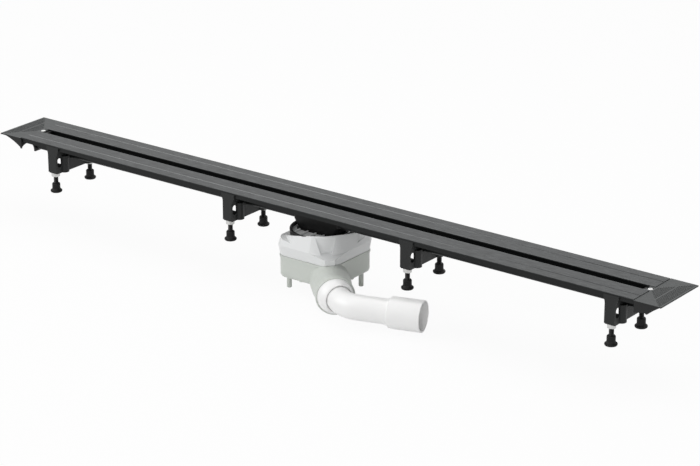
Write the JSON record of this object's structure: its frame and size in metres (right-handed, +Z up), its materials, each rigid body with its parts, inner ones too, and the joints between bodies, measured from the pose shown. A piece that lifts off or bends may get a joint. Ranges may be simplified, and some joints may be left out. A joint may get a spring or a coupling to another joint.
{
  "type": "shower drain channel",
  "caption": "Slotted linear shower drain on adjustable feet, with ribbed end caps, a low trap below its middle and a ball-jointed waste outlet.",
  "frame": {"origin": "centre of the slot in the channel's top face, above the drain", "axes": "+X along the channel, the outlet sleeve points to +X; +Y across it, away from the outlet; +Z up"},
  "size_m": [1.292, 0.182, 0.14],
  "materials": {
    "profile_metal": "satin anodised, fine lines along the length",
    "cap_plastic": "satin moulded",
    "bracket_plastic": "satin moulded",
    "black_plastic": "satin moulded",
    "black_rubber": "matt",
    "white_plastic": "semi-gloss moulded",
    "grey_white_plastic": "semi-gloss moulded",
    "zinc_steel": "bright zinc plated",
    "bright_steel": "bright",
    "black_steel": "black, threaded"
  },
  "bodies": {
    "channel": {"channel_profile": "profile_metal", "outlet_tub": "black_plastic", "tub_seal": "black_rubber", "trap_upper_shell": "white_plastic", "trap_lower_shell": "grey_white_plastic", "trap_ring_seal": "black_rubber", "trap_insert": "white_plastic", "trap_insert_seal": "black_rubber", "hair_sieve": "black_plastic", "outlet_ball_seal": "black_rubber", "end_cap_left": "cap_plastic", "end_cap_seal_left": "black_rubber", "cap_screw_left": "bright_steel", "end_cap_right": "cap_plastic", "end_cap_seal_right": "black_rubber", "cap_screw_right": "bright_steel", "bracket_1": "bracket_plastic", "captive_nuts_1": "zinc_steel", "lock_nut_1_near": "zinc_steel", "lock_nut_1_far": "zinc_steel", "bracket_2": "bracket_plastic", "captive_nuts_2": "zinc_steel", "lock_nut_2_near": "zinc_steel", "lock_nut_2_far": "zinc_steel", "bracket_3": "bracket_plastic", "captive_nuts_3": "zinc_steel", "lock_nut_3_near": "zinc_steel", "lock_nut_3_far": "zinc_steel", "bracket_4": "bracket_plastic", "captive_nuts_4": "zinc_steel", "lock_nut_4_near": "zinc_steel", "lock_nut_4_far": "zinc_steel"},
    "foot_1_near": {"foot_rod_1_near": "black_steel", "foot_pad_1_near": "black_rubber"},
    "foot_1_far": {"foot_rod_1_far": "black_steel", "foot_pad_1_far": "black_rubber"},
    "foot_2_near": {"foot_rod_2_near": "black_steel", "foot_pad_2_near": "black_rubber"},
    "foot_2_far": {"foot_rod_2_far": "black_steel", "foot_pad_2_far": "black_rubber"},
    "foot_3_near": {"foot_rod_3_near": "black_steel", "foot_pad_3_near": "black_rubber"},
    "foot_3_far": {"foot_rod_3_far": "black_steel", "foot_pad_3_far": "black_rubber"},
    "foot_4_near": {"foot_rod_4_near": "black_steel", "foot_pad_4_near": "black_rubber"},
    "foot_4_far": {"foot_rod_4_far": "black_steel", "foot_pad_4_far": "black_rubber"},
    "outlet_ring": {"union_ring": "grey_white_plastic"},
    "outlet_elbow": {"outlet_elbow": "white_plastic", "outlet_sleeve": "white_plastic", "sleeve_seal": "black_rubber"}
  },
  "joints": [
    {"name": "foot_1_near_height", "type": "slide", "parent": "channel", "child": "foot_1_near", "axis": [0, 0, 1], "range_m": [-0.025, 0.004]},
    {"name": "foot_1_far_height", "type": "slide", "parent": "channel", "child": "foot_1_far", "axis": [0, 0, 1], "range_m": [-0.025, 0.004]},
    {"name": "foot_2_near_height", "type": "slide", "parent": "channel", "child": "foot_2_near", "axis": [0, 0, 1], "range_m": [-0.025, 0.004]},
    {"name": "foot_2_far_height", "type": "slide", "parent": "channel", "child": "foot_2_far", "axis": [0, 0, 1], "range_m": [-0.025, 0.004]},
    {"name": "foot_3_near_height", "type": "slide", "parent": "channel", "child": "foot_3_near", "axis": [0, 0, 1], "range_m": [-0.025, 0.004]},
    {"name": "foot_3_far_height", "type": "slide", "parent": "channel", "child": "foot_3_far", "axis": [0, 0, 1], "range_m": [-0.025, 0.004]},
    {"name": "foot_4_near_height", "type": "slide", "parent": "channel", "child": "foot_4_near", "axis": [0, 0, 1], "range_m": [-0.025, 0.004]},
    {"name": "foot_4_far_height", "type": "slide", "parent": "channel", "child": "foot_4_far", "axis": [0, 0, 1], "range_m": [-0.025, 0.004]},
    {"name": "outlet_turn", "type": "hinge", "parent": "channel", "child": "outlet_ring", "pos_m": [0.08773, -0.08273, -0.1085], "axis": [0.7071, -0.7071, 0], "continuous": true},
    {"name": "elbow_swing", "type": "hinge", "parent": "outlet_ring", "child": "outlet_elbow", "pos_m": [0.08773, -0.08273, -0.1085], "axis": [0, 0, 1], "range_deg": [-28.5, 1.5]}
  ]
}
